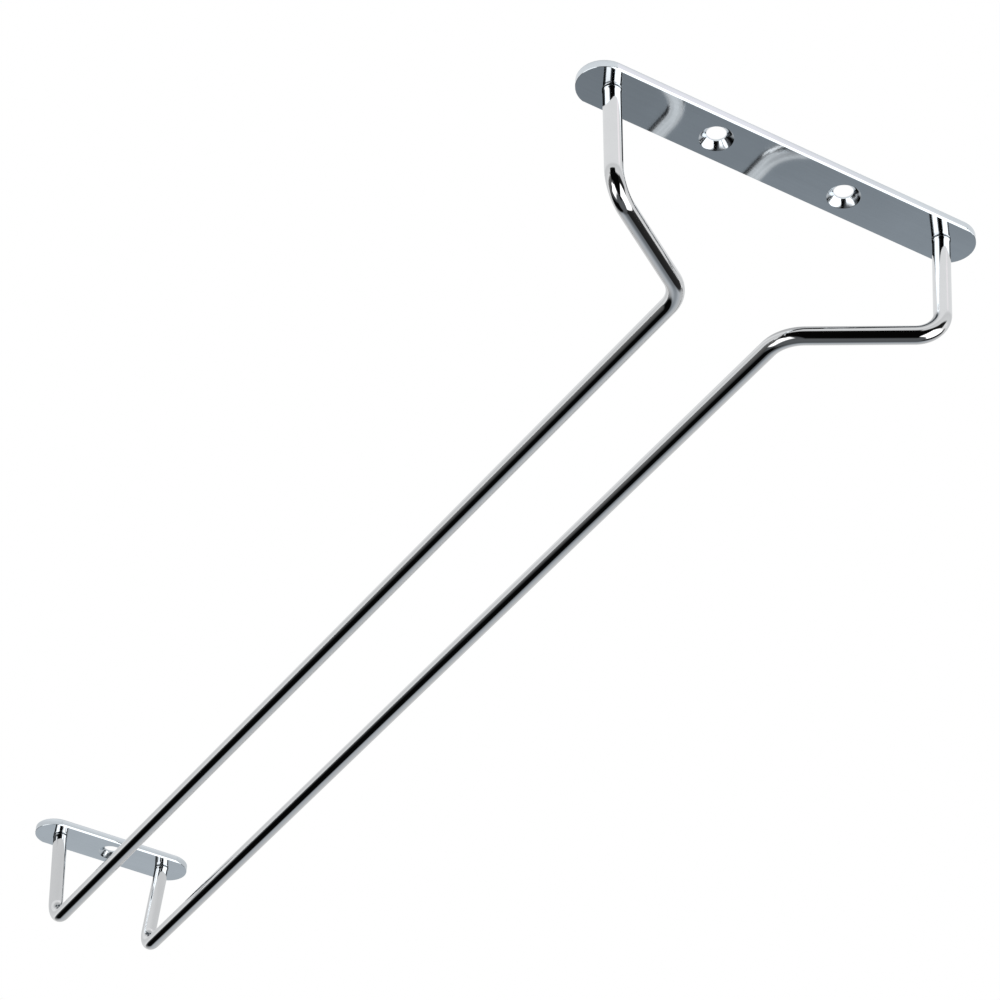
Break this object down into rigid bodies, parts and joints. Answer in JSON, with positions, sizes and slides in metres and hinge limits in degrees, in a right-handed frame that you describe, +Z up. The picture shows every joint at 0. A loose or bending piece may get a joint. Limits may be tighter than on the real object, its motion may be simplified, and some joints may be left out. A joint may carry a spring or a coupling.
{
  "type": "hanging wine glass rack",
  "caption": "Under-shelf hanging rack whose open wire channel holds stemmed glasses upside down by their feet.",
  "frame": {"origin": "middle of the front bar's top face, which goes against the underside of the shelf", "axes": "+X along the bars to the right wire, +Y back along the channel from the open front, +Z up into the shelf"},
  "size_m": [0.124, 0.4366, 0.0388],
  "materials": {
    "plated_bar": "chrome plate over polished flat bar, a faint grain left along it",
    "plated_wire": "bright chrome plate, mirror polished"
  },
  "bodies": {
    "root": {"front_plate": "plated_bar", "rear_plate": "plated_bar", "left_rail": "plated_wire", "right_rail": "plated_wire"}
  },
  "joints": []
}
